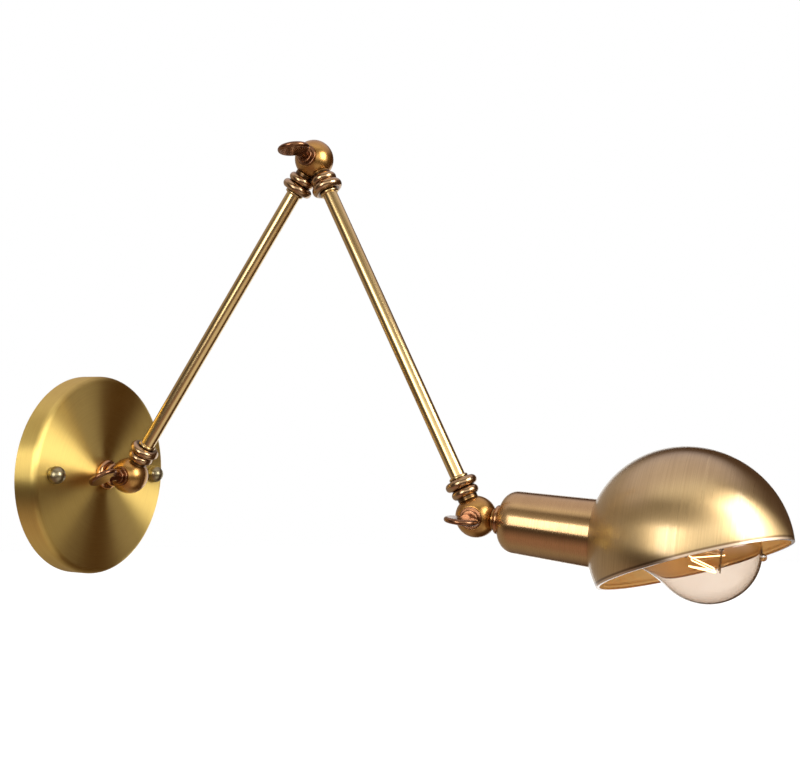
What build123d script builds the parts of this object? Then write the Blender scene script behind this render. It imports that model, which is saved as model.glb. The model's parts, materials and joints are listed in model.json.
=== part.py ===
from build123d import *
from math import asin, cos, pi, radians, sin, sqrt
import os

# Extendable wall lamp: a round wall plate carries two swinging arms on three split-ball knuckles,
# and the last knuckle carries a lampholder with a domed side-entry shade and a globe bulb.
# The wall is the plane Y = 0, the lamp reaches out along -Y, +Z is up, and the origin is the
# middle of the wall strap. Lengths are in millimetres and angles in degrees.

# Pose of the arms, measured up from the outward horizontal
lower_arm_angle = 56.0
upper_arm_angle = -63.6
head_angle = -5.1

# Wall plate, a pressed cup with a rounded front edge
plate_dia = 140.0
plate_depth = 16.5
plate_wall = 1.2
plate_edge_radius = 4.0

# Wall strap behind the plate
strap_thick = 1.6
strap_width = 22.0
strap_end_lift = 3.0
strap_slope = 3.0
strap_end_margin = 6.0
wall_slot_spacing = 70.0
wall_slot_width = 4.6
wall_slot_length = 10.0
wire_hole_dia = 18.0
earth_screw_offset = 17.0
earth_screw_dia = 4.0
earth_head_dia = 7.2
earth_head_thick = 2.4
earth_head_rounding = 0.8

# Studs on the strap, on a line turned a little from level, and the ball-shaped nuts that draw the
# plate to the wall. Each ball is cut flat where it meets the plate.
stud_spacing = 108.0
stud_turn = -2.3
stud_dia = 4.0
stud_head_dia = 7.0
stud_head_thick = 1.2
stud_depth_in_nut = 5.0
nut_dia = 12.0
nut_rise = 4.2

# Split-ball knuckles
shoulder_reach = 38.5
ball_dia = 25.4
neck_dia = 12.6
bead_inset = 0.4
arm_bead_offset = 0.5
seam_gap = 0.6
washer_width = 2.6
washer_inset = 0.6
groove_depth = 5.0
pivot_boss_dia = 11.0
wire_bore_dia = 5.0
spot_face_depth = 2.2

# Thumb screws that clamp the knuckles
screw_dia = 4.0
screw_depth = 8.5
hub_base_dia = 13.6
hub_base_thick = 1.8
hub_base_rounding = 0.5
hub_step_dia = 10.0
hub_step_thick = 2.0
hub_step_rounding = 0.6
hub_dia = 7.0
hub_tip_dia = 6.0
hub_length = 5.8
paddle_dia = 20.4
paddle_thick = 3.2
paddle_overlap = 2.0
shoulder_paddle_turn = -32.0
elbow_paddle_turn = -9.0
head_paddle_turn = 6.0

# Turned beads at the ends of the arms
near_bead_dia = 17.4
far_bead_dia = 20.4
bead_thick = 5.8
ferrule_dia = 12.2
ferrule_thick = 2.2
wall_bead_dia = 16.4
wall_bead_thick = 4.4
collar_dia = 21.4
head_bead_dia = 17.6
head_bead_thick = 3.6

# Arm tubes, the spigots that hold them, and the threaded stems at the wall and the head
arm_length = 256.0
tube_dia = 9.5
tube_wall = 1.0
spigot_length = 10.0
stem_dia = 9.8
stem_washer_dia = 18.0
stem_washer_thick = 1.0
locknut_flats = 14.0
locknut_thick = 3.4
stem_tail = 1.8

# Lampholder cup and shade
cup_back_dia = 36.6
cup_front_dia = 39.8
cup_wall = 1.2
cup_shoulder_radius = 10.0
shade_reach = 125.0
shade_dia = 112.4
shade_wall = 1.0
shade_rim_drop = 11.0
shade_rim_tilt = 22.6
shade_turn = -12.5
hem_height = 2.4
hem_thick = 0.8

# Lampholder inside the cup
holder_wall = 1.9
holder_rounding = 2.5
shell_bore_dia = 26.8
shell_wall = 0.4
cap_above_shell = 3.24
holder_nose = 1.0
contact_width = 7.0
contact_thick = 0.6
contact_rise = 3.4
contact_bend = 2.25
ring_dia = 43.0
ring_height = 4.0

# Globe bulb with a screw cap
bulb_reach = 134.2
bulb_dia = 60.4
bulb_length = 110.0
glass_wall = 0.8
bulb_neck_dia = 27.2
pip_dia = 4.4
pip_height = 2.4
cap_dia = 26.0
cap_wall = 0.5
cap_length = 27.0
cap_button_dia = 9.0
cap_button_height = 2.2
cap_cone_height = 4.4
cap_cone_dia = 21.0
glass_in_cap = 5.0
mount_dia = 9.0
mount_rod_dia = 3.4
filament_dia = 0.7
filament_cage_dia = 27.0
filament_waist_dia = 21.0
filament_height = 20.0
filament_peaks = 6
filament_bend = 1.2
lead_dia = 0.8
lead_spacing = 4.5

# Clearances
fit_gap = 0.05
hole_gap = 0.25
ball_gap = 0.3
wire_gap = 0.25
seat_gap = 0.03
mouth_gap = 0.4

# Worked-out sizes
ball_r = ball_dia / 2
neck_end = ball_r - bead_inset
arm_neck_end = ball_r + arm_bead_offset
near_bead_end = arm_neck_end + bead_thick
far_bead_end = near_bead_end + bead_thick
wall_bead_end = neck_end + wall_bead_thick
collar_end = shoulder_reach - plate_depth
cup_start = neck_end + head_bead_thick
spot_face = ball_r - spot_face_depth
washer_r = ball_r - washer_inset
groove_r = washer_r - washer_width
shade_r = shade_dia / 2
holder_r = shell_bore_dia / 2 + shell_wall + fit_gap + holder_wall
contact_pos = bulb_reach + bulb_dia / 2 - bulb_length
cap_end = contact_pos + cap_length


def outward(angle):
    return Vector(0, -cos(radians(angle)), sin(radians(angle)))


# Pivots and frames. Each frame's Z runs along its piece and its X along the knuckle pivots.
shoulder = Vector(0, -shoulder_reach, 0)
elbow = shoulder + outward(lower_arm_angle) * arm_length
head = elbow + outward(upper_arm_angle) * arm_length
wall_frame = Plane((0, 0, 0), x_dir=(1, 0, 0), z_dir=(0, -1, 0))
base_frame = Plane(shoulder, x_dir=(1, 0, 0), z_dir=(0, 1, 0))
lower_frame = Plane(shoulder, x_dir=(1, 0, 0), z_dir=outward(lower_arm_angle))
lower_top_frame = Plane(elbow, x_dir=(1, 0, 0), z_dir=-outward(lower_arm_angle))
upper_frame = Plane(elbow, x_dir=(1, 0, 0), z_dir=outward(upper_arm_angle))
upper_end_frame = Plane(head, x_dir=(1, 0, 0), z_dir=-outward(upper_arm_angle))
head_frame = Plane(head, x_dir=(1, 0, 0), z_dir=outward(head_angle))

os.makedirs("parts", exist_ok=True)


def save(name, shape, frame=None):
    placed = frame.location * shape if frame else shape
    export_step(placed, f"parts/{name}.step")


def rod(radius, low, high):
    return Pos(0, 0, low) * Cylinder(radius, high - low, align=(Align.CENTER, Align.CENTER, Align.MIN))


def pivot_rod(radius, low, high):
    return Pos(low, 0, 0) * Rot(0, 90, 0) * rod(radius, 0, high - low)


def tube(outer, inner, low, high):
    return rod(outer, low, high) - rod(inner, low, high)


def lathe(*curves):
    return revolve(make_face(curves), Axis.Z)


def at(radius, height):
    return (radius, 0, height)


# Quarter round between a flat face at the given height and a side wall at the given radius
def quarter_round(radius, height, rounding):
    inner_r = radius - rounding
    shelf = height - rounding
    mid = rounding * sqrt(0.5)
    return ThreePointArc(at(inner_r, height), at(inner_r + mid, shelf + mid), at(radius, shelf))


# Inside rounding of a bent wall, at least a quarter of the wall
def inside_rounding(outside, wall):
    return max(outside - wall, wall / 4)


# Ring with a fully rounded outer edge
def bead(low, thick, outer_dia, bore_r):
    round_r = thick / 2
    body_r = outer_dia / 2 - round_r
    high = low + thick
    edge = ThreePointArc(at(body_r, low), at(outer_dia / 2, low + round_r), at(body_r, high))
    walls = Polyline(at(body_r, high), at(bore_r, high), at(bore_r, low), at(body_r, low))
    return lathe(edge, walls)


# One half of a split ball with its round neck and hollow stem. side is +1 for the half that the
# thumb screw threads into and -1 for the half under its head. The neck is whole, so across the
# seam it is hollowed to pass over the other half.
def knuckle_half(side, neck_top, stem_r, stem_end):
    face = side * seam_gap / 2
    own_side = Pos(face + side * ball_dia, 0, 0) * Box(2 * ball_dia, 3 * ball_dia, 3 * ball_dia)
    shaft = rod(neck_dia / 2, 0, neck_top) + rod(stem_r, neck_top, stem_end)
    half = (Sphere(ball_r) + shaft) & own_side
    half += shaft - Sphere(ball_r + ball_gap)
    groove = pivot_rod(groove_r, -groove_depth, groove_depth)
    groove -= pivot_rod(pivot_boss_dia / 2, -groove_depth, groove_depth)
    half -= groove
    half -= rod(wire_bore_dia / 2, (groove_r + pivot_boss_dia / 2) / 2, stem_end)
    if side < 0:
        half -= pivot_rod(screw_dia / 2 + hole_gap, -ball_r, 0)
        half -= pivot_rod(ball_r, -2 * ball_r, -spot_face)
    else:
        half -= pivot_rod(screw_dia / 2 + fit_gap, 0, screw_depth + hole_gap)
    return half


def friction_washer():
    washer = pivot_rod(washer_r, -seam_gap / 2, seam_gap / 2)
    return washer - pivot_rod(groove_r, -seam_gap, seam_gap)


# Thumb screw along -X: a turned shank and stepped hub, and a flat round paddle in the XY plane
def thumb_screw():
    hub_start = spot_face + hub_base_thick
    step_end = hub_start + hub_step_thick
    hub_end = step_end + hub_length
    shank_r = screw_dia / 2
    base_r = hub_base_dia / 2
    step_r = hub_step_dia / 2
    shank = Polyline(
        at(hub_tip_dia / 2, hub_end),
        at(0, hub_end),
        at(0, -screw_depth),
        at(shank_r, -screw_depth),
        at(shank_r, spot_face),
        at(base_r, spot_face),
        at(base_r, hub_start - hub_base_rounding),
    )
    base_rounding = quarter_round(base_r, hub_start, hub_base_rounding)
    step = Polyline(
        at(base_r - hub_base_rounding, hub_start),
        at(step_r, hub_start),
        at(step_r, step_end - hub_step_rounding),
    )
    step_rounding = quarter_round(step_r, step_end, hub_step_rounding)
    hub = Polyline(
        at(step_r - hub_step_rounding, step_end),
        at(hub_dia / 2, step_end),
        at(hub_tip_dia / 2, hub_end),
    )
    paddle = bead(-paddle_thick / 2, paddle_thick, paddle_dia, 0)
    paddle = Pos(-(hub_end + paddle_dia / 2 - paddle_overlap), 0, 0) * paddle
    turned = lathe(shank, base_rounding, step, step_rounding, hub)
    return Rot(0, -90, 0) * turned + paddle


def hex_nut(low, thick, bore_r):
    nut = Pos(0, 0, low) * extrude(RegularPolygon(locknut_flats / 2, 6, major_radius=False), thick)
    return nut - rod(bore_r, low, low + thick)


stud_spots = [Rot(0, 0, stud_turn) * Pos(x, 0, 0) for x in (-stud_spacing / 2, stud_spacing / 2)]


# Wall plate: flat face, rounded edge, open back, with a stem hole and two stud holes
def wall_plate():
    outer_r = plate_dia / 2
    inner_r = outer_r - plate_wall
    inner_depth = plate_depth - plate_wall
    inner_edge = inside_rounding(plate_edge_radius, plate_wall)
    front = Polyline(at(0, inner_depth), at(0, plate_depth), at(outer_r - plate_edge_radius, plate_depth))
    rounding = quarter_round(outer_r, plate_depth, plate_edge_radius)
    rim = Polyline(
        at(outer_r, plate_depth - plate_edge_radius),
        at(outer_r, 0),
        at(inner_r, 0),
        at(inner_r, inner_depth - inner_edge),
    )
    inner_rounding = quarter_round(inner_r, inner_depth, inner_edge)
    back = Line(at(inner_r - inner_edge, inner_depth), at(0, inner_depth))
    plate = lathe(front, rounding, rim, inner_rounding, back)
    plate -= rod(stem_dia / 2 + hole_gap, 0, plate_depth)
    for spot in stud_spots:
        plate -= spot * rod(stud_dia / 2 + hole_gap, 0, plate_depth)
    return plate


# Wall strap: its middle lies on the wall and its stepped ends leave room for the stud heads
def wall_strap():
    end = stud_spacing / 2 + strap_end_margin
    step = stud_spacing / 2 - strap_end_margin - strap_slope
    lift = strap_end_lift
    lower = [(-end, lift), (-step - strap_slope, lift), (-step, 0)]
    lower += [(step, 0), (step + strap_slope, lift), (end, lift)]
    upper = [(x, z + strap_thick) for x, z in reversed(lower)]
    side = make_face(Polyline(*[at(x, z) for x, z in lower + upper], close=True))
    strap = extrude(side, strap_width / 2, dir=(0, 1, 0), both=True)
    strap -= rod(wire_hole_dia / 2, 0, strap_thick)
    slot = SlotOverall(wall_slot_length, wall_slot_width)
    for x in (-wall_slot_spacing / 2, wall_slot_spacing / 2):
        strap -= Pos(x, 0, 0) * extrude(slot, strap_thick)
    for spot in stud_spots:
        strap -= spot * rod(stud_dia / 2 + fit_gap, 0, lift + strap_thick)
    strap -= Pos(earth_screw_offset, 0, 0) * rod(earth_screw_dia / 2 + fit_gap, 0, strap_thick)
    return strap


def stud():
    head_disc = rod(stud_head_dia / 2, strap_end_lift - stud_head_thick, strap_end_lift)
    return head_disc + rod(stud_dia / 2, strap_end_lift, plate_depth + stud_depth_in_nut)


def ball_nut():
    middle = plate_depth + nut_rise
    nut = Pos(0, 0, middle) * Sphere(nut_dia / 2) & rod(nut_dia, plate_depth, middle + nut_dia)
    return nut - rod(stud_dia / 2 + fit_gap, plate_depth, plate_depth + stud_depth_in_nut + hole_gap)


def pair(shape):
    return Compound([spot * shape for spot in stud_spots])


earth_head = rod(earth_head_dia / 2, strap_thick, strap_thick + earth_head_thick)
earth_head = fillet(earth_head.edges().group_by(Axis.Z)[-1], earth_head_rounding)
earth_screw = rod(earth_screw_dia / 2, 0, strap_thick) + earth_head
save("wall_plate", wall_plate(), wall_frame)
save("wall_strap", wall_strap(), wall_frame)
save("plate_studs", pair(stud()), wall_frame)
save("ball_nuts", pair(ball_nut()), wall_frame)
save("earth_screw", Pos(earth_screw_offset, 0, 0) * earth_screw, wall_frame)

# Shoulder stem through the wall plate, with its bead, collar, washer and locknut
stem_r = stem_dia / 2
stem_bore = stem_r + fit_gap
plate_inside = collar_end + plate_wall
washer_end = plate_inside + stem_washer_thick
base_nut_end = washer_end + locknut_thick
save("shoulder_wall_half", knuckle_half(-1, neck_end, stem_r, base_nut_end + stem_tail), base_frame)
save("wall_bead", bead(neck_end, wall_bead_thick, wall_bead_dia, stem_bore), base_frame)
save("wall_collar", bead(wall_bead_end, collar_end - wall_bead_end, collar_dia, stem_bore), base_frame)
save("stem_washer", tube(stem_washer_dia / 2, stem_bore, plate_inside, washer_end), base_frame)
save("stem_locknut", hex_nut(washer_end, locknut_thick, stem_bore), base_frame)


# Arms: a tube between two knuckle halves, with two beads and a ferrule at each end
tube_r = tube_dia / 2
spigot_r = tube_r - tube_wall - fit_gap
spigot_end = far_bead_end + spigot_length


def arm(name, frames, sides, ends):
    arm_tube = tube(tube_r, tube_r - tube_wall, far_bead_end, arm_length - far_bead_end)
    save(f"{name}_tube", arm_tube, frames[0])
    for frame, side, (end, knuckle) in zip(frames, sides, ends):
        save(knuckle, knuckle_half(side, arm_neck_end, spigot_r, spigot_end), frame)
        bore = spigot_r + fit_gap
        save(f"{name}_{end}_near_bead", bead(arm_neck_end, bead_thick, near_bead_dia, bore), frame)
        save(f"{name}_{end}_far_bead", bead(near_bead_end, bead_thick, far_bead_dia, bore), frame)
        ferrule = bead(far_bead_end, ferrule_thick, ferrule_dia, tube_r + seat_gap)
        save(f"{name}_{end}_ferrule", ferrule, frame)


lower_ends = [("bottom", "shoulder_arm_half"), ("top", "elbow_lower_half")]
upper_ends = [("top", "elbow_upper_half"), ("bottom", "head_arm_half")]
arm("lower_arm", [lower_frame, lower_top_frame], [1, 1], lower_ends)
arm("upper_arm", [upper_frame, upper_end_frame], [-1, 1], upper_ends)

# Friction washers and thumb screws
knuckles = [
    ("shoulder", shoulder, shoulder_paddle_turn),
    ("elbow", elbow, elbow_paddle_turn),
    ("head", head, head_paddle_turn),
]
for name, pivot, paddle_turn in knuckles:
    save(f"{name}_washer", Location(pivot) * friction_washer())
    save(f"{name}_thumb_screw", Location(pivot) * Rot(paddle_turn, 0, 0) * thumb_screw())

# Lampholder cup: rounded back, slight taper, front edge seated on the shade
shade_centre = Pos(0, 0, shade_reach)
cup_front = shade_reach - sqrt(shade_r**2 - (cup_front_dia / 2) ** 2)
cup_slope = (cup_front_dia - cup_back_dia) / 2 / (cup_front - cup_start)


def cup_solid(inset):
    low = cup_start + inset
    back_r = cup_back_dia / 2 - inset
    front_r = back_r + cup_slope * (shade_reach - low)
    side = Polyline(at(0, low), at(back_r, low), at(front_r, shade_reach), at(0, shade_reach), close=True)
    rounding = inside_rounding(cup_shoulder_radius, inset)
    return fillet(lathe(side).edges().group_by(Axis.Z)[0], rounding)


cup = cup_solid(0) - cup_solid(cup_wall) - shade_centre * Sphere(shade_r + seat_gap)
cup -= rod(stem_bore, cup_start, cup_start + cup_wall)
save("socket_cup", cup, head_frame)

# Head stem, bead and locknut
cup_inside = cup_start + cup_wall
head_nut_end = cup_inside + locknut_thick
head_stem_end = head_nut_end + locknut_thick + stem_tail
save("head_lamp_half", knuckle_half(-1, neck_end, stem_r, head_stem_end), head_frame)
save("head_bead", bead(neck_end, head_bead_thick, head_bead_dia, stem_bore), head_frame)
save("head_locknut", hex_nut(cup_inside, locknut_thick, stem_bore), head_frame)


# Shade: part of a sphere cut by a tilted rim with a folded hem, and a side hole for the holder. It
# is clamped a little turned about the holder, so that it opens towards -X.
def shade():
    inner_r = shade_r - shade_wall
    hem_r = inner_r - hem_thick
    hem_top = hem_height - shade_rim_drop
    rim = -shade_rim_drop

    def reach(radius, height):
        return sqrt(radius**2 - height**2)

    def bulge(radius, low, high):
        turn = (asin(low / radius) + asin(high / radius)) / 2
        return at(radius * cos(turn), radius * sin(turn))

    rim_outside = at(reach(shade_r, rim), rim)
    rim_inside = at(reach(hem_r, rim), rim)
    ledge_inside = at(reach(hem_r, hem_top), hem_top)
    ledge_outside = at(reach(inner_r, hem_top), hem_top)
    outer = ThreePointArc(at(0, shade_r), bulge(shade_r, rim, shade_r), rim_outside)
    hem = ThreePointArc(rim_inside, bulge(hem_r, rim, hem_top), ledge_inside)
    inner = ThreePointArc(ledge_outside, bulge(inner_r, hem_top, inner_r), at(0, inner_r))
    lip = Line(rim_outside, rim_inside)
    ledge = Line(ledge_inside, ledge_outside)
    crown = Line(at(0, inner_r), at(0, shade_r))
    dome = lathe(outer, lip, hem, ledge, inner, crown)
    dome = shade_centre * Rot(0, 0, shade_turn) * Rot(-90 - shade_rim_tilt, 0, 0) * dome
    return dome - rod(holder_r + hole_gap, 0, shade_reach)


save("shade", shade(), head_frame)

# Outline of the bulb's glass: a straight neck that runs into the globe on a tangent curve
bulb_r = bulb_dia / 2
neck_r = bulb_neck_dia / 2
glass_foot = cap_end - glass_in_cap
flare_start = cap_end + glass_in_cap
flare_run = bulb_reach - flare_start
flare_r = (flare_run**2 + neck_r**2 - bulb_r**2) / (2 * (bulb_r - neck_r))


def glass_outline(inset):
    globe = bulb_r - inset
    flare = flare_r + inset
    tube_radius = neck_r - inset
    centre_r = tube_radius + flare
    lean = asin(flare_run / (globe + flare))
    join = at(centre_r - flare * cos(lean), flare_start + flare * sin(lean))
    halfway = at(centre_r - flare * cos(lean / 2), flare_start + flare * sin(lean / 2))
    globe_mid = (pi / 2 - lean) / 2
    side = at(globe * cos(globe_mid), bulb_reach + globe * sin(globe_mid))
    top = at(0, bulb_reach + globe)
    foot = at(tube_radius, glass_foot)
    neck = Line(foot, at(tube_radius, flare_start))
    curve = ThreePointArc(at(tube_radius, flare_start), halfway, join)
    dome = ThreePointArc(join, side, top)
    walls = Polyline(top, at(0, glass_foot), foot)
    return lathe(neck, curve, dome, walls)


# Lampholder: insulating body screwed on the head stem, threaded shell, sprung centre contact,
# and a ring on its nose that clamps the shade against the cup. The shell ends below the cap's rim,
# and the mouth is opened to clear the glass.
shade_inner_r = shade_r - shade_wall
ring_seat = shade_reach - sqrt(shade_inner_r**2 - (ring_dia / 2) ** 2)
ring_end = ring_seat + ring_height
holder_end = ring_end + holder_nose
holder_floor = contact_pos - contact_rise
shell_r = shell_bore_dia / 2 + shell_wall
shell_end = cap_end - cap_above_shell
holder = rod(holder_r, head_nut_end, holder_end)
holder = fillet(holder.edges().group_by(Axis.Z)[0], holder_rounding)
holder -= rod(shell_r + fit_gap, holder_floor, shell_end)
holder -= glass_outline(-mouth_gap)
holder -= rod(stem_bore, head_nut_end, head_stem_end + hole_gap)
holder -= rod(wire_bore_dia / 2, head_nut_end, holder_floor)
shell = tube(shell_r, shell_bore_dia / 2, holder_floor, shell_end)
ring = tube(ring_dia / 2, holder_r + fit_gap, cup_front, ring_end)
ring = ring & shade_centre * Sphere(shade_inner_r - seat_gap)
spring_foot = shell_bore_dia / 2 - contact_thick
spring_heel = wire_bore_dia / 2 + contact_thick
spring_top = contact_pos - seat_gap
contact_path = Polyline(
    at(spring_foot, holder_floor),
    at(spring_foot, holder_floor + contact_thick),
    at(contact_bend, spring_top),
    at(-cap_button_dia / 2, spring_top),
    at(-cap_button_dia / 2, spring_top - contact_thick),
    at(contact_bend - contact_thick, spring_top - contact_thick),
    at(spring_heel, holder_floor + contact_thick),
    at(spring_heel, holder_floor),
    close=True,
)
contact = extrude(make_face(contact_path), contact_width / 2, dir=(0, 1, 0), both=True)
save("holder_body", holder, head_frame)
save("holder_shell", shell, head_frame)
save("holder_contact", contact, head_frame)
save("shade_ring", ring, head_frame)

# Bulb glass, with a collar turned down into the cap and a small pip that closes its tip
tip = bulb_reach + bulb_r
pip_centre = tip + pip_height - pip_dia / 2
pip = rod(pip_dia / 2, bulb_reach, pip_centre) + Pos(0, 0, pip_centre) * Sphere(pip_dia / 2)
cap_inside = cap_dia / 2 - cap_wall
collar = rod(cap_dia, 0, cap_end) - rod(cap_inside - fit_gap, 0, cap_end)
glass = glass_outline(0) - collar - glass_outline(glass_wall) + (pip - glass_outline(glass_wall))
save("bulb_glass", glass, head_frame)

# Screw cap with its insulating cone and contact button
button_end = contact_pos + cap_button_height
cone_end = button_end + cap_cone_height
button = rod(cap_button_dia / 2, contact_pos, button_end)
button = fillet(button.edges().group_by(Axis.Z)[0], cap_button_height / 2)
cone = lathe(
    Polyline(
        at(0, button_end),
        at(cap_button_dia / 2, button_end),
        at(cap_cone_dia / 2, cone_end),
        at(0, cone_end),
        close=True,
    )
)
cap_taper = (cap_dia - cap_cone_dia) / 2
cap = lathe(
    Polyline(
        at(cap_cone_dia / 2 - cap_wall, cone_end),
        at(cap_cone_dia / 2, cone_end),
        at(cap_dia / 2, cone_end + cap_taper),
        at(cap_dia / 2, cap_end),
        at(cap_inside, cap_end),
        at(cap_inside, cone_end + cap_taper),
        close=True,
    )
)
save("bulb_cap", cap, head_frame)
save("bulb_cap_insulator", cone, head_frame)
save("bulb_cap_contact", button, head_frame)

# Glass mount inside the bulb, sealed to the neck, and the wires that hold the filament
mount_top = bulb_reach + filament_height / 2
pinch = bulb_reach - filament_height
mount = lathe(
    Polyline(
        at(0, glass_foot),
        at(neck_r - glass_wall - fit_gap - cap_wall, glass_foot),
        at(mount_dia / 2, cap_end),
        at(mount_dia / 2, pinch),
        at(mount_rod_dia / 2, pinch + mount_dia / 2),
        at(mount_rod_dia / 2, mount_top),
        at(0, mount_top),
        close=True,
    )
)
save("bulb_mount", mount, head_frame)


# Squirrel-cage filament: a wire that zigzags round the mount between two rings of hooks
def cage_point(index):
    turn = 2 * pi * (index + 0.5) / (2 * filament_peaks)
    top = index % 2
    radius = (filament_cage_dia if top else filament_waist_dia) / 2
    height = bulb_reach + (filament_height / 2 if top else -filament_height / 2)
    return Vector(radius * cos(turn), radius * sin(turn), height)


def wire(radius, start, end):
    return Plane(start, z_dir=end - start).location * rod(radius, 0, (end - start).length)


filament_r = filament_dia / 2
cage = [cage_point(index) for index in range(2 * filament_peaks)]
cage_path = FilletPolyline(*cage, radius=filament_bend)
filament = sweep(Plane(cage_path @ 0, z_dir=cage_path % 0) * Circle(filament_r), cage_path)
save("bulb_filament", filament, head_frame)


# Spokes from the rod's top to the upper bends, and two leads from the mount to the lower bends.
# Each stops just short of the filament, on the side of the mount.
def outward_from_mount(point):
    return Vector(point.X, point.Y, 0).normalized()


def beside(point):
    return point - outward_from_mount(point) * (filament_r + wire_gap)


def spoke(point):
    drop = Vector(0, 0, filament_bend)
    return wire(lead_dia / 2, Vector(0, 0, point.Z) - drop, beside(point) - drop)


def lead(point):
    foot = Vector(0, 0, pinch) + outward_from_mount(point) * lead_spacing / 2
    return wire(lead_dia / 2, foot, beside(point))


spokes = [spoke(point) for index, point in enumerate(cage) if index % 2]
save("bulb_wires", sum(spokes[1:], spokes[0]), head_frame)
save("bulb_leads", Compound([lead(cage[0]), lead(cage[-2])]), head_frame)
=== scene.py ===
import json
import math
import bpy
import bmesh
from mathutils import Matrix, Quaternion, Vector

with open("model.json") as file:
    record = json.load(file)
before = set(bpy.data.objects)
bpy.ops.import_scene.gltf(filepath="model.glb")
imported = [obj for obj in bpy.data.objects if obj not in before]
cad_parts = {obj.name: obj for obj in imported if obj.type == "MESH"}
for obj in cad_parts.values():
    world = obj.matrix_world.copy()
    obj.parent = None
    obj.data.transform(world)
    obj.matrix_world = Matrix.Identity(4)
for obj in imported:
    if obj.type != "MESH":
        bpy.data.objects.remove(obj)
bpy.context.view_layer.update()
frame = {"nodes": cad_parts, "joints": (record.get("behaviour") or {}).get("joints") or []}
cadNodes = frame["nodes"]
print("frame loaded,", len(cadNodes), "nodes")

# Where the lamp's own axes lie, read from its joints
joints = {joint["name"]: joint for joint in frame["joints"]}
shoulder = Vector(joints["shoulder_tilt"]["pos_m"])
elbow = Vector(joints["elbow_fold"]["pos_m"])
headPivot = Vector(joints["head_tilt"]["pos_m"])
wallCentre = Vector((0.0, 0.0, 0.0))
pivotAxis = Vector((1.0, 0.0, 0.0))
wallAxis = Vector((0.0, -1.0, 0.0))
headAxis = Vector(joints["bulb_turn"]["axis"]).normalized()
lowerAxis = (elbow - shoulder).normalized()
upperAxis = (headPivot - elbow).normalized()
upright = Vector((0.0, 0.0, 1.0))
pureWhite = (1.0, 1.0, 1.0, 1.0)
pureBlack = (0.0, 0.0, 0.0, 1.0)


def toLinear(red, green, blue):  # a display colour, 0 to 255, as the shader wants it
    shares = [channel / 255.0 for channel in (red, green, blue)]
    linear = [s / 12.92 if s <= 0.04045 else ((s + 0.055) / 1.055) ** 2.4 for s in shares]
    return (*linear, 1.0)


def feed(tree, socket, value):  # a plain value goes on the socket, anything else is linked
    if isinstance(value, bpy.types.NodeSocket):
        tree.links.new(value, socket)
    else:
        socket.default_value = value


def calc(tree, operation, first, second):
    node = tree.nodes.new("ShaderNodeMath")
    node.operation = operation
    feed(tree, node.inputs[0], first)
    feed(tree, node.inputs[1], second)
    return node.outputs[0]


def vectorCalc(tree, operation, first, second=(0.0, 0.0, 0.0)):
    node = tree.nodes.new("ShaderNodeVectorMath")
    node.operation = operation
    feed(tree, node.inputs[0], first)
    feed(tree, node.inputs[1], second)
    return node.outputs


def spread(tree, value, fromLow, fromHigh, toLow, toHigh):  # smooth, clamped map range
    node = tree.nodes.new("ShaderNodeMapRange")
    node.interpolation_type = "SMOOTHSTEP"
    feed(tree, node.inputs["Value"], value)
    feed(tree, node.inputs["From Min"], fromLow)
    feed(tree, node.inputs["From Max"], fromHigh)
    feed(tree, node.inputs["To Min"], toLow)
    feed(tree, node.inputs["To Max"], toHigh)
    return node.outputs["Result"]


def rising(tree, value, limits):
    return spread(tree, value, limits[0], limits[1], 0.0, 1.0)


def falling(tree, value, limits):
    return spread(tree, value, limits[0], limits[1], 1.0, 0.0)


def blendColour(tree, share, first, second):
    node = tree.nodes.new("ShaderNodeMix")
    node.data_type = "RGBA"
    feed(tree, node.inputs[0], share)
    feed(tree, node.inputs[6], first)  # 6, 7 and output 2 are the node's colour sockets
    feed(tree, node.inputs[7], second)
    return node.outputs[2]


def noise(tree, vector, scale, detail, roughness, w=None):
    node = tree.nodes.new("ShaderNodeTexNoise")
    if w is not None:
        node.noise_dimensions = "4D"
        feed(tree, node.inputs["W"], w)
    feed(tree, node.inputs["Vector"], vector)
    feed(tree, node.inputs["Scale"], scale)
    node.inputs["Detail"].default_value = detail
    node.inputs["Roughness"].default_value = roughness
    return node.outputs[0]


def splitVector(tree, vector):
    node = tree.nodes.new("ShaderNodeSeparateXYZ")
    tree.links.new(vector, node.inputs[0])
    return node.outputs


def joinVector(tree, **values):
    node = tree.nodes.new("ShaderNodeCombineXYZ")
    for label, value in values.items():
        tree.links.new(value, node.inputs[label])
    return node.outputs[0]


# Each shared effect is a group with a Vector, some numbers, and one result between 0 and 1
def startGroup(name, resultName, **numbers):
    group = bpy.data.node_groups.new(name, "ShaderNodeTree")
    group.interface.new_socket("Vector", in_out="INPUT", socket_type="NodeSocketVector")
    for label, value in numbers.items():
        socket = group.interface.new_socket(label, in_out="INPUT", socket_type="NodeSocketFloat")
        socket.default_value = value
    group.interface.new_socket(resultName, in_out="OUTPUT", socket_type="NodeSocketFloat")
    given = group.nodes.new("NodeGroupInput").outputs
    result = group.nodes.new("NodeGroupOutput").inputs[resultName]
    return group, given, result


def placeGroup(tree, group, vector, **values):
    node = tree.nodes.new("ShaderNodeGroup")
    node.node_tree = group
    tree.links.new(vector, node.inputs["Vector"])
    for label, value in values.items():
        feed(tree, node.inputs[label], value)
    return node.outputs[0]


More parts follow.
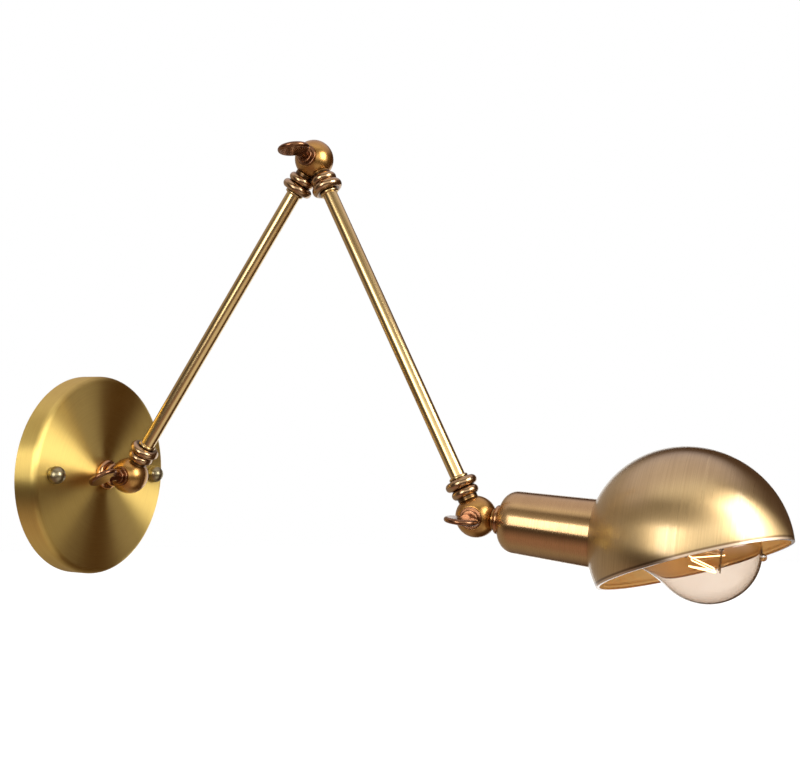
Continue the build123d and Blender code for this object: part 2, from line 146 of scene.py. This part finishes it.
# Lines left by a lathe or a buffing wheel: rings about Z that wander a little on their way round
def makeTurnedLines():
    tree, given, result = startGroup("turnedLines", "Lines", Density=3000.0, Wander=1.5)
    parts = splitVector(tree, given["Vector"])
    flat = joinVector(tree, X=parts["X"], Y=parts["Y"])
    radius = vectorCalc(tree, "LENGTH", flat)["Value"]
    around = splitVector(tree, vectorCalc(tree, "NORMALIZE", flat)["Vector"])
    place = joinVector(
        tree,
        X=calc(tree, "MULTIPLY", radius, given["Density"]),
        Y=calc(tree, "MULTIPLY", parts["Z"], given["Density"]),
        Z=calc(tree, "MULTIPLY", around["X"], given["Wander"]),
    )
    wander = calc(tree, "MULTIPLY", around["Y"], given["Wander"])
    tree.links.new(noise(tree, place, scale=1.0, detail=5.0, roughness=0.65, w=wander), result)
    return tree


# Lines left by drawing a tube through its die, along Z
def makeDrawnLines():
    tree, given, result = startGroup("drawnLines", "Lines", Density=2500.0, Stretch=18.0)
    parts = splitVector(tree, given["Vector"])
    place = joinVector(
        tree,
        X=calc(tree, "MULTIPLY", parts["X"], given["Density"]),
        Y=calc(tree, "MULTIPLY", parts["Y"], given["Density"]),
        Z=calc(tree, "MULTIPLY", parts["Z"], given["Stretch"]),
    )
    tree.links.new(noise(tree, place, scale=1.0, detail=4.0, roughness=0.6), result)
    return tree


# Soft clouds, for tarnish under the lacquer and for mottling
def makeClouds():
    tree, given, result = startGroup("tarnishClouds", "Mask", Scale=45.0, Low=0.45, High=0.75)
    clouds = noise(tree, given["Vector"], given["Scale"], detail=6.0, roughness=0.6)
    tree.links.new(rising(tree, clouds, (given["Low"], given["High"])), result)
    return tree


# Grime and painted shade that a cloth can't reach, near the axis of a turned groove
def makeGrooveGrimeAndPaintedShade():
    tree, given, result = startGroup("grooveGrimeAndPaintedShade", "Mask", Inner=0.004, Outer=0.006)
    parts = splitVector(tree, given["Vector"])
    radius = vectorCalc(tree, "LENGTH", joinVector(tree, X=parts["X"], Y=parts["Y"]))["Value"]
    raggedness = noise(tree, given["Vector"], scale=900.0, detail=3.0, roughness=0.6)
    ragged = calc(tree, "MULTIPLY", raggedness, 0.0006)  # metres by which its edge wanders
    reach = calc(tree, "ADD", radius, ragged)
    tree.links.new(falling(tree, reach, (given["Inner"], given["Outer"])), result)
    return tree


turnedLines = makeTurnedLines()
drawnLines = makeDrawnLines()
tarnishClouds = makeClouds()
grooveGrimeAndPaintedShade = makeGrooveGrimeAndPaintedShade()
print("shared effects ready")


def startMaterial(name):
    material = bpy.data.materials.new(name)
    material.use_nodes = True
    return material, material.node_tree, material.node_tree.nodes["Principled BSDF"]


def objectCoords(tree):
    return tree.nodes.new("ShaderNodeTexCoord").outputs["Object"]


def alignedCoords(tree, centre, axis):  # object coordinates from centre, with Z along axis
    mapping = tree.nodes.new("ShaderNodeMapping")
    mapping.vector_type = "TEXTURE"
    mapping.inputs["Location"].default_value = centre
    mapping.inputs["Rotation"].default_value = axis.to_track_quat("Z", "Y").to_euler()
    tree.links.new(objectCoords(tree), mapping.inputs["Vector"])
    return mapping.outputs["Vector"]


def fromPoint(tree, centre):  # the way and the distance from centre
    offset = vectorCalc(tree, "SUBTRACT", objectCoords(tree), centre)["Vector"]
    return offset, vectorCalc(tree, "LENGTH", offset)["Value"]


def cloudMask(tree, scale, limits):
    return placeGroup(tree, tarnishClouds, objectCoords(tree), Scale=scale, Low=limits[0], High=limits[1])


def addBump(tree, shader, height, strength, depth):
    bump = tree.nodes.new("ShaderNodeBump")
    bump.inputs["Strength"].default_value = strength
    bump.inputs["Distance"].default_value = depth
    tree.links.new(height, bump.inputs["Height"])
    tree.links.new(bump.outputs["Normal"], shader.inputs["Normal"])


def brushAbout(tree, shader, centre, axis, amount):  # gloss stretched across rings about axis
    offset = vectorCalc(tree, "SUBTRACT", objectCoords(tree), centre)["Vector"]
    ringWay = vectorCalc(tree, "CROSS_PRODUCT", axis, offset)["Vector"]
    unit = vectorCalc(tree, "NORMALIZE", ringWay)["Vector"]
    toWorld = tree.nodes.new("ShaderNodeVectorTransform")
    toWorld.vector_type = "VECTOR"
    toWorld.convert_from = "OBJECT"
    toWorld.convert_to = "WORLD"
    tree.links.new(unit, toWorld.inputs[0])
    tree.links.new(toWorld.outputs[0], shader.inputs["Tangent"])
    shader.inputs["Anisotropic"].default_value = amount
    shader.inputs["Anisotropic Rotation"].default_value = 0.25  # a quarter turn, from along to across


def lacquer(shader, look):
    shader.inputs["Coat Weight"].default_value = look["coat"]
    shader.inputs["Coat Roughness"].default_value = look["coatRoughness"]


# What the marks of making do to any turned or spun metal here
markLook = dict(
    cloudRange=(0.42, 0.72),  # the part of the clouds that shows as tarnish
    streakRange=(0.3, 0.7),  # the part of the lines that darkens
    # how much grime and painted shade cover grooves and necks, and how much the grime dulls them
    roughRange=(0.25, 0.75), smoothest=0.82, roughest=1.22,  # and that dulls, times the piece's roughness
    tarnishDulls=0.12, grimeAndPaintedShadeShare=0.85, grimeDulls=0.2,
    depth=0.00006,  # metres
)


def linedRoughness(tree, lines, roughness, smoothest, roughest):
    low, high = markLook["roughRange"]
    return spread(tree, lines, low, high, roughness * smoothest, roughness * roughest)


def lineStreaks(tree, lines, amount):
    low, high = markLook["streakRange"]
    return spread(tree, lines, low, high, 0.0, amount)


def turnedMetal(name, look, centre, axis):  # metal turned, spun or buffed in rings about axis
    material, tree, shader = startMaterial(name)
    aligned = alignedCoords(tree, centre, axis)
    lines = placeGroup(tree, turnedLines, aligned, Density=look["density"], Wander=look["wander"])
    clouds = cloudMask(tree, look["cloudScale"], markLook["cloudRange"])
    tarnish = calc(tree, "MULTIPLY", clouds, look["tarnish"])
    colour = blendColour(tree, tarnish, look["colour"], look["deep"])
    colour = blendColour(tree, lineStreaks(tree, lines, look["streak"]), colour, look["deep"])
    rough = linedRoughness(tree, lines, look["roughness"], markLook["smoothest"], markLook["roughest"])
    rough = calc(tree, "ADD", rough, calc(tree, "MULTIPLY", tarnish, markLook["tarnishDulls"]))
    # grime and painted shade down in the groove
    if "groove" in look:
        inner, outer = look["groove"]
        groove = placeGroup(tree, grooveGrimeAndPaintedShade, aligned, Inner=inner, Outer=outer)
        share = calc(tree, "MULTIPLY", groove, markLook["grimeAndPaintedShadeShare"])
        colour = blendColour(tree, share, colour, look["grimeAndPaintedShade"])
        rough = calc(tree, "ADD", rough, calc(tree, "MULTIPLY", groove, markLook["grimeDulls"]))
    # grime and painted shade on the neck between the ball and the first bead
    if "neck" in look:  # the same darkening, further from centre than the ball's own surface
        inner, outer = look["neck"]
        distance = fromPoint(tree, centre)[1]
        share = spread(tree, distance, inner, outer, 0.0, markLook["grimeAndPaintedShadeShare"])
        colour = blendColour(tree, share, colour, look["grimeAndPaintedShade"])
    feed(tree, shader.inputs["Base Color"], colour)
    feed(tree, shader.inputs["Roughness"], rough)
    shader.inputs["Metallic"].default_value = 1.0
    addBump(tree, shader, lines, look["bump"], markLook["depth"])
    if look["brush"] > 0.0:
        brushAbout(tree, shader, centre, axis, look["brush"])
    lacquer(shader, look)
    return material


def dress(material, *names):
    for name in names:
        mesh = cadNodes[name].data
        mesh.materials.clear()
        mesh.materials.append(material)


# The wall plate, spun and brushed in rings
plateLook = dict(
    colour=toLinear(248, 217, 126), deep=toLinear(188, 144, 70), density=4600.0, wander=1.2, cloudScale=26.0,
    tarnish=0.15, streak=0.2, roughness=0.4, bump=0.05, brush=1.0, coat=0.1, coatRoughness=0.25,
)
dress(turnedMetal("brushedPlate", plateLook, wallCentre, wallAxis), "wall_plate")

# The holder's cover, turned about the lamp head's axis
cupLook = dict(
    colour=toLinear(208, 170, 118), deep=toLinear(142, 98, 64), density=2600.0, wander=1.0, cloudScale=60.0,
    tarnish=0.15, streak=0.18, roughness=0.25, bump=0.04, brush=0.88, coat=0.4, coatRoughness=0.14,
)
dress(turnedMetal("brushedCup", cupLook, headPivot, headAxis), "socket_cup")

# The shade: brushed outside, gold lacquer inside, told apart by the distance from the middle of its sphere
shadeLook = dict(
    colour=toLinear(214, 184, 132), deep=toLinear(156, 120, 76), density=2300.0, wander=1.1, cloudScale=38.0,
    tarnish=0.2, streak=0.3, roughness=0.32, bump=0.08, brush=0.85, coat=0.7, coatRoughness=0.16,
    inside=toLinear(255, 214, 142), insideDeep=toLinear(255, 186, 106), insideRoughness=0.25, insideMetal=0.1,
    centreReach=0.125,  # from the head's pivot to the middle of the sphere
    wallRange=(0.0555, 0.0559),  # radii between which inside turns to outside
    rimWay=Vector((-0.1998, -0.3027, -0.9319)), rimDrop=0.011,  # where the rim's plane lies
    # a painted highlight on the rolled lip, and painted shade in the seam above it
    lip=toLinear(222, 196, 168), lipRange=(0.0009, 0.0013),  # heights above that plane
    seam=toLinear(92, 62, 38), seamRange=(0.0018, 0.0026), seamShare=0.7,
)


def shadeMetal(look):
    material, tree, shader = startMaterial("brushedShade")
    aligned = alignedCoords(tree, headPivot, headAxis)
    lines = placeGroup(tree, turnedLines, aligned, Density=look["density"], Wander=look["wander"])
    clouds = cloudMask(tree, look["cloudScale"], markLook["cloudRange"])
    offset, distance = fromPoint(tree, headPivot + headAxis * look["centreReach"])
    outside = rising(tree, distance, look["wallRange"])
    outer = blendColour(tree, calc(tree, "MULTIPLY", clouds, look["tarnish"]), look["colour"], look["deep"])
    outer = blendColour(tree, lineStreaks(tree, lines, look["streak"]), outer, look["deep"])
    inner = blendColour(tree, clouds, look["inside"], look["insideDeep"])
    colour = blendColour(tree, outside, inner, outer)
    # a painted highlight on the rolled lip at the rim, and painted shade in the seam above it on the outside
    downward = vectorCalc(tree, "DOT_PRODUCT", offset, look["rimWay"])["Value"]
    aboveRim = calc(tree, "SUBTRACT", look["rimDrop"], downward)
    seam = spread(tree, aboveRim, *look["seamRange"], look["seamShare"], 0.0)
    colour = blendColour(tree, calc(tree, "MULTIPLY", seam, outside), colour, look["seam"])
    lip = falling(tree, aboveRim, look["lipRange"])
    colour = blendColour(tree, lip, colour, look["lip"])
    feed(tree, shader.inputs["Base Color"], colour)
    rough = linedRoughness(tree, lines, look["roughness"], markLook["smoothest"], markLook["roughest"])
    gap = calc(tree, "SUBTRACT", rough, look["insideRoughness"])
    rough = calc(tree, "ADD", calc(tree, "MULTIPLY", gap, outside), look["insideRoughness"])
    feed(tree, shader.inputs["Roughness"], rough)
    metal = calc(tree, "MAXIMUM", calc(tree, "MAXIMUM", outside, lip), look["insideMetal"])
    feed(tree, shader.inputs["Metallic"], metal)
    addBump(tree, shader, calc(tree, "MULTIPLY", lines, outside), look["bump"], markLook["depth"])
    brushAbout(tree, shader, headPivot, headAxis, look["brush"])
    lacquer(shader, look)
    return material


dress(shadeMetal(shadeLook), "shade")

# The two arm tubes, drawn and polished along their length
tubeLook = dict(
    colour=toLinear(230, 198, 138), deep=toLinear(172, 128, 76), density=2400.0, stretch=14.0,
    cloudScale=50.0, tarnish=0.25, tarnishDulls=0.1, roughness=0.2, smoothest=0.8, roughest=1.3, bump=0.05,
    depth=0.00005, coat=0.4, coatRoughness=0.22,
)


def tubeMetal(name, look, centre, axis):
    material, tree, shader = startMaterial(name)
    aligned = alignedCoords(tree, centre, axis)
    lines = placeGroup(tree, drawnLines, aligned, Density=look["density"], Stretch=look["stretch"])
    clouds = cloudMask(tree, look["cloudScale"], markLook["cloudRange"])
    tarnish = calc(tree, "MULTIPLY", clouds, look["tarnish"])
    feed(tree, shader.inputs["Base Color"], blendColour(tree, tarnish, look["colour"], look["deep"]))
    rough = linedRoughness(tree, lines, look["roughness"], look["smoothest"], look["roughest"])
    rough = calc(tree, "ADD", rough, calc(tree, "MULTIPLY", tarnish, look["tarnishDulls"]))
    feed(tree, shader.inputs["Roughness"], rough)
    shader.inputs["Metallic"].default_value = 1.0
    addBump(tree, shader, lines, look["bump"], look["depth"])
    lacquer(shader, look)
    return material


dress(tubeMetal("lowerTubeBrass", tubeLook, shoulder, lowerAxis), "lower_arm_tube")
dress(tubeMetal("upperTubeBrass", tubeLook, elbow, upperAxis), "upper_arm_tube")

# The knuckle halves: darker bronze, polished round each pivot, with grime and painted shade on their necks
knuckleLook = dict(
    colour=toLinear(206, 156, 86), deep=toLinear(118, 72, 36), grimeAndPaintedShade=toLinear(46, 28, 20), density=1400.0,
    wander=2.0, cloudScale=70.0, tarnish=0.5, streak=0.18, roughness=0.27, bump=0.03, brush=0.0, coat=0.25,
    coatRoughness=0.2, neck=(0.0127, 0.0136),
)
# The thumb screws: the same bronze, redder and darker
screwLook = dict(
    colour=toLinear(154, 106, 70), deep=toLinear(84, 50, 32), density=900.0, wander=1.0, cloudScale=70.0,
    tarnish=0.4, streak=0.12, roughness=0.2, bump=0.03, brush=0.0, coat=0.4, coatRoughness=0.12,
)
knuckles = {
    "shoulder": (shoulder, "shoulder_wall_half", "shoulder_arm_half"),
    "elbow": (elbow, "elbow_lower_half", "elbow_upper_half"),
    "head": (headPivot, "head_arm_half", "head_lamp_half"),
}
for label, (pivot, *halves) in knuckles.items():
    dress(turnedMetal(label + "KnuckleBronze", knuckleLook, pivot, pivotAxis), *halves)
    dress(turnedMetal(label + "ScrewBronze", screwLook, pivot, pivotAxis), label + "_thumb_screw")

# The turned beads and ferrules at the tube ends, the beads darker down in their grooves with grime and
# painted shade
beadLook = dict(
    colour=toLinear(198, 162, 120), deep=toLinear(112, 78, 54), grimeAndPaintedShade=toLinear(50, 30, 22), density=2600.0,
    wander=1.0, cloudScale=90.0, tarnish=0.35, streak=0.2, roughness=0.18, bump=0.05, brush=0.2, coat=0.4,
    coatRoughness=0.12, groove=(0.0068, 0.0088),
)
ferruleLook = dict(beadLook, colour=toLinear(218, 186, 128))
del ferruleLook["groove"]
arms = {"lower": (shoulder, lowerAxis), "upper": (elbow, upperAxis)}
for arm, (start, axis) in arms.items():
    beadBrass = turnedMetal(arm + "BeadBrass", beadLook, start, axis)
    ferruleBrass = turnedMetal(arm + "FerruleBrass", ferruleLook, start, axis)
    for end in ("bottom", "top"):
        dress(beadBrass, f"{arm}_arm_{end}_near_bead", f"{arm}_arm_{end}_far_bead")
        dress(ferruleBrass, f"{arm}_arm_{end}_ferrule")

# The rings between the plate and the first knuckle, and the one behind the cup
# the rings are darker in their grooves with grime and painted shade, as the beads are
ringLook = dict(beadLook, colour=toLinear(200, 150, 104), deep=toLinear(118, 76, 48), groove=(0.0064, 0.0080))
dress(turnedMetal("wallRingBronze", ringLook, shoulder, wallAxis), "wall_bead", "wall_collar")
dress(turnedMetal("headRingBronze", ringLook, headPivot, headAxis), "head_bead")

# The ball nuts, greyer and duller than the plate
nutLook = dict(
    colour=toLinear(164, 152, 120), deep=toLinear(92, 80, 56), density=2600.0, wander=1.0, cloudScale=120.0,
    tarnish=0.4, streak=0.2, roughness=0.3, bump=0.06, brush=0.0, coat=0.1, coatRoughness=0.2,
)
dress(turnedMetal("ballNutBrass", nutLook, wallCentre, wallAxis), "ball_nuts")
print("brass and bronze dressed")

# Plated steel: the strap and its fixings, and the nut inside the cup
zincLook = dict(
    colour=toLinear(196, 198, 200), deep=toLinear(128, 126, 120), density=1500.0, wander=3.0,
    cloudScale=160.0, tarnish=0.5, streak=0.3, roughness=0.34, bump=0.12, brush=0.0,
    coat=0.0, coatRoughness=0.2,
)
zincSteel = turnedMetal("zincSteel", zincLook, wallCentre, wallAxis)
dress(zincSteel, "wall_strap", "plate_studs", "stem_washer", "stem_locknut", "head_locknut")
greenLook = dict(zincLook, colour=toLinear(58, 128, 72), deep=toLinear(24, 66, 38), roughness=0.3)
dress(turnedMetal("greenSteel", greenLook, wallCentre, wallAxis), "earth_screw")

# Moulded or pressed stuff that isn't metal
plainLook = dict(grainRange=(0.3, 0.7), smoother=0.06, rougher=0.08, depth=0.0001)


def plainSurface(name, look):
    material, tree, shader = startMaterial(name)
    clouds = cloudMask(tree, look["scale"], (look["low"], look["high"]))
    feed(tree, shader.inputs["Base Color"], blendColour(tree, clouds, look["colour"], look["deep"]))
    grain = noise(tree, objectCoords(tree), look["grain"], detail=4.0, roughness=0.6)
    smoothest = look["roughness"] - plainLook["smoother"]
    roughest = look["roughness"] + plainLook["rougher"]
    feed(tree, shader.inputs["Roughness"], spread(tree, grain, *plainLook["grainRange"], smoothest, roughest))
    addBump(tree, shader, grain, look["bump"], plainLook["depth"])
    return material


fibreLook = dict(
    colour=toLinear(120, 62, 44), deep=toLinear(74, 36, 28), scale=700.0, low=0.35, high=0.7, grain=2600.0,
    roughness=0.7, bump=0.3,
)
dress(plainSurface("fibreWasher", fibreLook), "shoulder_washer", "elbow_washer", "head_washer")
phenolicLook = dict(
    colour=toLinear(34, 26, 22), deep=toLinear(20, 15, 13), scale=180.0, low=0.4, high=0.7, grain=1500.0,
    roughness=0.38, bump=0.08,
)
dress(plainSurface("phenolicHolder", phenolicLook), "holder_body", "shade_ring")
blackGlassLook = dict(
    colour=toLinear(18, 18, 22), deep=toLinear(30, 30, 36), scale=300.0, low=0.4, high=0.7, grain=900.0,
    roughness=0.16, bump=0.02,
)
dress(plainSurface("blackGlassInsulator", blackGlassLook), "bulb_cap_insulator")

# Bare metal of the holder's contacts, the bulb's cap and its wires
contactLook = dict(
    colour=toLinear(214, 178, 108), deep=toLinear(150, 108, 60), density=1600.0, wander=2.0, cloudScale=200.0,
    tarnish=0.5, streak=0.25, roughness=0.3, bump=0.08, brush=0.0, coat=0.0, coatRoughness=0.2,
)
contactBrass = turnedMetal("contactBrass", contactLook, headPivot, headAxis)
dress(contactBrass, "holder_shell", "holder_contact", "bulb_cap_contact")
capLook = dict(
    colour=toLinear(200, 196, 186), deep=toLinear(140, 134, 122), density=1600.0, wander=1.5,
    cloudScale=160.0, tarnish=0.4, streak=0.2, roughness=0.24, bump=0.06, brush=0.0,
    coat=0.0, coatRoughness=0.2,
)
dress(turnedMetal("nickelCap", capLook, headPivot, headAxis), "bulb_cap")
wireLook = dict(
    colour=toLinear(176, 160, 132), deep=toLinear(110, 92, 66), density=1200.0, wander=2.0, cloudScale=300.0,
    tarnish=0.4, streak=0.2, roughness=0.26, bump=0.04, brush=0.0, coat=0.0, coatRoughness=0.2,
)
dress(turnedMetal("bulbWire", wireLook, headPivot, headAxis), "bulb_wires", "bulb_leads")

# Clear glass of the globe and its mount, with a faint warm tint and a little smearing
glassLook = dict(
    colour=toLinear(248, 238, 228), deep=toLinear(244, 231, 217), tintScale=35.0, tintRange=(0.3, 0.8),
    smearScale=120.0, smearRange=(0.4, 0.8), roughness=0.01, ior=1.46,
)


def clearGlass(name, look):
    material, tree, shader = startMaterial(name)
    tint = cloudMask(tree, look["tintScale"], look["tintRange"])
    feed(tree, shader.inputs["Base Color"], blendColour(tree, tint, look["colour"], look["deep"]))
    smear = noise(tree, objectCoords(tree), look["smearScale"], detail=3.0, roughness=0.5)
    feed(tree, shader.inputs["Roughness"], spread(tree, smear, *look["smearRange"], 0.0, look["roughness"]))
    shader.inputs["Transmission Weight"].default_value = 1.0
    shader.inputs["IOR"].default_value = look["ior"]
    return material


dress(clearGlass("globeGlass", glassLook), "bulb_glass", "bulb_mount")

# The filament, mottled wire with a warm glow
filamentLook = dict(
    colour=toLinear(236, 214, 168), deep=toLinear(190, 150, 96), mottleScale=420.0, mottleRange=(0.4, 0.7),
    roughness=0.3, glow=toLinear(255, 226, 168), strength=4.0,
)


def filamentWire(look):
    material, tree, shader = startMaterial("filamentWire")
    mottled = cloudMask(tree, look["mottleScale"], look["mottleRange"])
    feed(tree, shader.inputs["Base Color"], blendColour(tree, mottled, look["colour"], look["deep"]))
    shader.inputs["Metallic"].default_value = 1.0
    shader.inputs["Roughness"].default_value = look["roughness"]
    shader.inputs["Emission Color"].default_value = look["glow"]
    shader.inputs["Emission Strength"].default_value = look["strength"]
    return material


dress(filamentWire(filamentLook), "bulb_filament")
print("glass, filament and hidden pieces dressed")

# Stage: a white world for camera, mirrors and glass, and plain grey light for everything else
stageLook = dict(
    ambient=0.75, floorDrop=1.2, floorReach=9.0, floorColour=toLinear(244, 243, 241), floorRoughness=0.8,
    floorLift=0.42,  # glow that keeps the far floor as white as the world
)


def plainBackground(tree, strength):
    node = tree.nodes.new("ShaderNodeBackground")
    node.inputs["Color"].default_value = pureWhite
    node.inputs["Strength"].default_value = strength
    return node.outputs[0]


def studioWorld(look):
    world = bpy.data.worlds.new("studio")
    bpy.context.scene.world = world
    world.use_nodes = True
    tree = world.node_tree
    tree.nodes.clear()
    path = tree.nodes.new("ShaderNodeLightPath").outputs
    seen = calc(tree, "MAXIMUM", path["Is Camera Ray"], path["Is Glossy Ray"])
    seen = calc(tree, "MAXIMUM", seen, path["Is Transmission Ray"])
    either = tree.nodes.new("ShaderNodeMixShader")
    tree.links.new(seen, either.inputs[0])
    tree.links.new(plainBackground(tree, look["ambient"]), either.inputs[1])
    tree.links.new(plainBackground(tree, 1.0), either.inputs[2])
    output = tree.nodes.new("ShaderNodeOutputWorld")
    tree.links.new(either.outputs[0], output.inputs["Surface"])


studioWorld(stageLook)


def meshObject(name, bm, material):
    mesh = bpy.data.meshes.new(name)
    bm.to_mesh(mesh)
    bm.free()
    mesh.materials.append(material)
    thing = bpy.data.objects.new(name, mesh)
    bpy.context.scene.collection.objects.link(thing)
    return thing


def paleFloor(look):
    material, tree, shader = startMaterial("paleFloor")
    shader.inputs["Base Color"].default_value = look["floorColour"]
    shader.inputs["Roughness"].default_value = look["floorRoughness"]
    shader.inputs["Emission Color"].default_value = pureWhite
    shader.inputs["Emission Strength"].default_value = look["floorLift"]
    return material


bm = bmesh.new()
bmesh.ops.create_circle(bm, cap_ends=True, radius=stageLook["floorReach"], segments=96)
bmesh.ops.translate(bm, verts=bm.verts, vec=(0.0, 0.0, -stageLook["floorDrop"]))
floor = meshObject("floor", bm, paleFloor(stageLook))

# Camera at the photograph's viewing angle
cameraLook = dict(
    azimuth=-67.56, elevation=-2.01, distance=0.629, target=(0.0, -0.24449, 0.06348), roll=0.58, lens=44.902,
    sensor=36.0, clipStart=0.01,
)
cameraTurn = math.radians(cameraLook["azimuth"])
cameraRise = math.radians(cameraLook["elevation"])
toCamera = Vector((
    math.sin(cameraTurn) * math.cos(cameraRise),
    -math.cos(cameraTurn) * math.cos(cameraRise),
    math.sin(cameraRise),
))
rightward = upright.cross(toCamera).normalized()  # to the right of the picture
upward = toCamera.cross(rightward)
aim = Vector(cameraLook["target"])
cameraData = bpy.data.cameras.new("camera")
cameraData.sensor_width = cameraLook["sensor"]
cameraData.lens = cameraLook["lens"]
cameraData.clip_start = cameraLook["clipStart"]
camera = bpy.data.objects.new("camera", cameraData)
bpy.context.scene.collection.objects.link(camera)
camera.location = aim + toCamera * cameraLook["distance"]
camera.rotation_mode = "QUATERNION"
cameraRoll = Quaternion((0.0, 0.0, 1.0), math.radians(cameraLook["roll"]))
camera.rotation_quaternion = (-toCamera).to_track_quat("-Z", "Y") @ cameraRoll
bpy.context.scene.camera = camera

# The room round the lamp, which only mirrors and glass see: reddish floor, dim walls, bright front, pale top.
# Level goes from 0 at the bottom to 1 at the top, facing and aside from -1 to 1 towards camera and right.
roomLook = dict(
    radius=1.15,
    openBehind=24.0,  # degrees left open round the white backdrop
    openDrop=12.0,  # how far the middle of that opening lies below the horizon
    openTurn=15.0,  # and how far to the right
    front=[  # level, and the colour there
        (0.00, (0.36, 0.23, 0.20, 1.0)), (0.12, (0.40, 0.25, 0.21, 1.0)), (0.33, (0.08, 0.06, 0.05, 1.0)),
        (0.43, (0.12, 0.09, 0.07, 1.0)), (0.52, (1.00, 0.97, 0.92, 1.0)), (0.66, (1.35, 1.33, 1.28, 1.0)),
        (0.76, (0.42, 0.38, 0.33, 1.0)), (0.88, (0.18, 0.15, 0.12, 1.0)), (0.96, (1.00, 0.97, 0.92, 1.0)),
        (1.00, (0.92, 0.89, 0.94, 1.0)),
    ],
    frontFacing=(-0.15, 0.35),  # where the flanks turn to the front
    leftFlank=(0.38, 0.32, 0.26, 1.0), rightFlank=(0.08, 0.042, 0.02, 1.0), flankAside=(-0.2, 0.2),
    ceiling=(0.72, 0.66, 0.72, 1.0), ceilingLevel=(0.74, 0.88),
)
lowRightLook = dict(  # a pale patch low on the right
    colour=(0.72, 0.67, 0.60, 1.0), level=(0.18, 0.26), aside=(-0.05, 0.15), facing=(0.0, 0.2),
)
leftFrontLook = dict(  # a dark patch at eye height, far to the left
    colour=(0.09, 0.07, 0.06, 1.0), levelBottom=(0.3, 0.4), levelTop=(0.68, 0.8), aside=(-0.85, -0.65),
    facing=(-0.15, 0.1),
)


def roomGlow(look, lowRight, leftFront):
    material, tree, shader = startMaterial("roomRoundLamp")
    height = calc(tree, "SUBTRACT", splitVector(tree, objectCoords(tree))["Z"], aim.z)
    level = calc(tree, "ADD", calc(tree, "MULTIPLY", height, 0.5 / look["radius"]), 0.5)
    fromAim = vectorCalc(tree, "SUBTRACT", objectCoords(tree), aim)["Vector"]
    facing = vectorCalc(tree, "DOT_PRODUCT", fromAim, toCamera / look["radius"])["Value"]
    aside = vectorCalc(tree, "DOT_PRODUCT", fromAim, rightward / look["radius"])["Value"]
    ramp = tree.nodes.new("ShaderNodeValToRGB")
    stops = ramp.color_ramp.elements
    while len(stops) < len(look["front"]):
        stops.new(1.0)
    for stop, (position, colour) in zip(stops, look["front"]):
        stop.position = position
        stop.color = colour
    tree.links.new(level, ramp.inputs[0])
    flank = blendColour(tree, rising(tree, aside, look["flankAside"]), look["leftFlank"], look["rightFlank"])
    behind = blendColour(tree, rising(tree, level, look["ceilingLevel"]), flank, look["ceiling"])
    glow = blendColour(tree, rising(tree, facing, look["frontFacing"]), behind, ramp.outputs["Color"])
    low = falling(tree, level, lowRight["level"])
    right = rising(tree, aside, lowRight["aside"])
    right = calc(tree, "MULTIPLY", right, rising(tree, facing, lowRight["facing"]))
    glow = blendColour(tree, calc(tree, "MULTIPLY", low, right), glow, lowRight["colour"])
    left = falling(tree, aside, leftFront["aside"])
    left = calc(tree, "MULTIPLY", left, rising(tree, facing, leftFront["facing"]))
    above = rising(tree, level, leftFront["levelBottom"])
    below = falling(tree, level, leftFront["levelTop"])
    atEyeHeight = calc(tree, "MULTIPLY", above, below)
    glow = blendColour(tree, calc(tree, "MULTIPLY", left, atEyeHeight), glow, leftFront["colour"])
    shader.inputs["Base Color"].default_value = pureBlack
    shader.inputs["Specular IOR Level"].default_value = 0.0
    feed(tree, shader.inputs["Emission Color"], glow)
    shader.inputs["Emission Strength"].default_value = 1.0
    return material


bm = bmesh.new()
bmesh.ops.create_uvsphere(bm, u_segments=64, v_segments=32, radius=roomLook["radius"])
bmesh.ops.translate(bm, verts=bm.verts, vec=aim)
openingDrop = math.radians(roomLook["openDrop"])
openingTurn = math.radians(roomLook["openTurn"])
awayFromOpening = toCamera * math.cos(openingTurn) - rightward * math.sin(openingTurn)
closedWay = (awayFromOpening * math.cos(openingDrop) + upward * math.sin(openingDrop)).normalized()
cutAt = aim - closedWay * roomLook["radius"] * math.cos(math.radians(roomLook["openBehind"]))
allParts = bm.verts[:] + bm.edges[:] + bm.faces[:]
bmesh.ops.bisect_plane(bm, geom=allParts, plane_co=cutAt, plane_no=closedWay, clear_inner=True)
room = meshObject("roomRoundLamp", bm, roomGlow(roomLook, lowRightLook, leftFrontLook))
room.visible_camera = False
room.visible_diffuse = False
room.visible_shadow = False

# Softboxes: azimuth to the right of the camera and elevation, in degrees, seen from the lamp
softboxes = dict(
    leftWindow=dict(azimuth=-30.0, elevation=9.0, distance=1.0, width=0.36, height=0.56, radiance=4.3),
    rightWindow=dict(azimuth=59.0, elevation=22.0, distance=1.0, width=0.54, height=0.66, radiance=6.6),
)
for label, box in softboxes.items():
    boxTurn = math.radians(box["azimuth"])
    boxRise = math.radians(box["elevation"])
    levelWay = rightward * math.sin(boxTurn) + toCamera * math.cos(boxTurn)
    boxWay = levelWay * math.cos(boxRise) + upward * math.sin(boxRise)
    light = bpy.data.lights.new(label, "AREA")
    light.shape = "RECTANGLE"
    light.size = box["width"]
    light.size_y = box["height"]
    light.energy = box["radiance"] * math.pi * box["width"] * box["height"]
    softbox = bpy.data.objects.new(label, light)
    bpy.context.scene.collection.objects.link(softbox)
    softbox.location = aim + boxWay * box["distance"]
    softbox.rotation_mode = "QUATERNION"
    softbox.rotation_quaternion = boxWay.to_track_quat("Z", "Y")
    softbox.visible_camera = False
print("stage, camera and lights ready")

bpy.context.scene.view_settings.view_transform = "Standard"
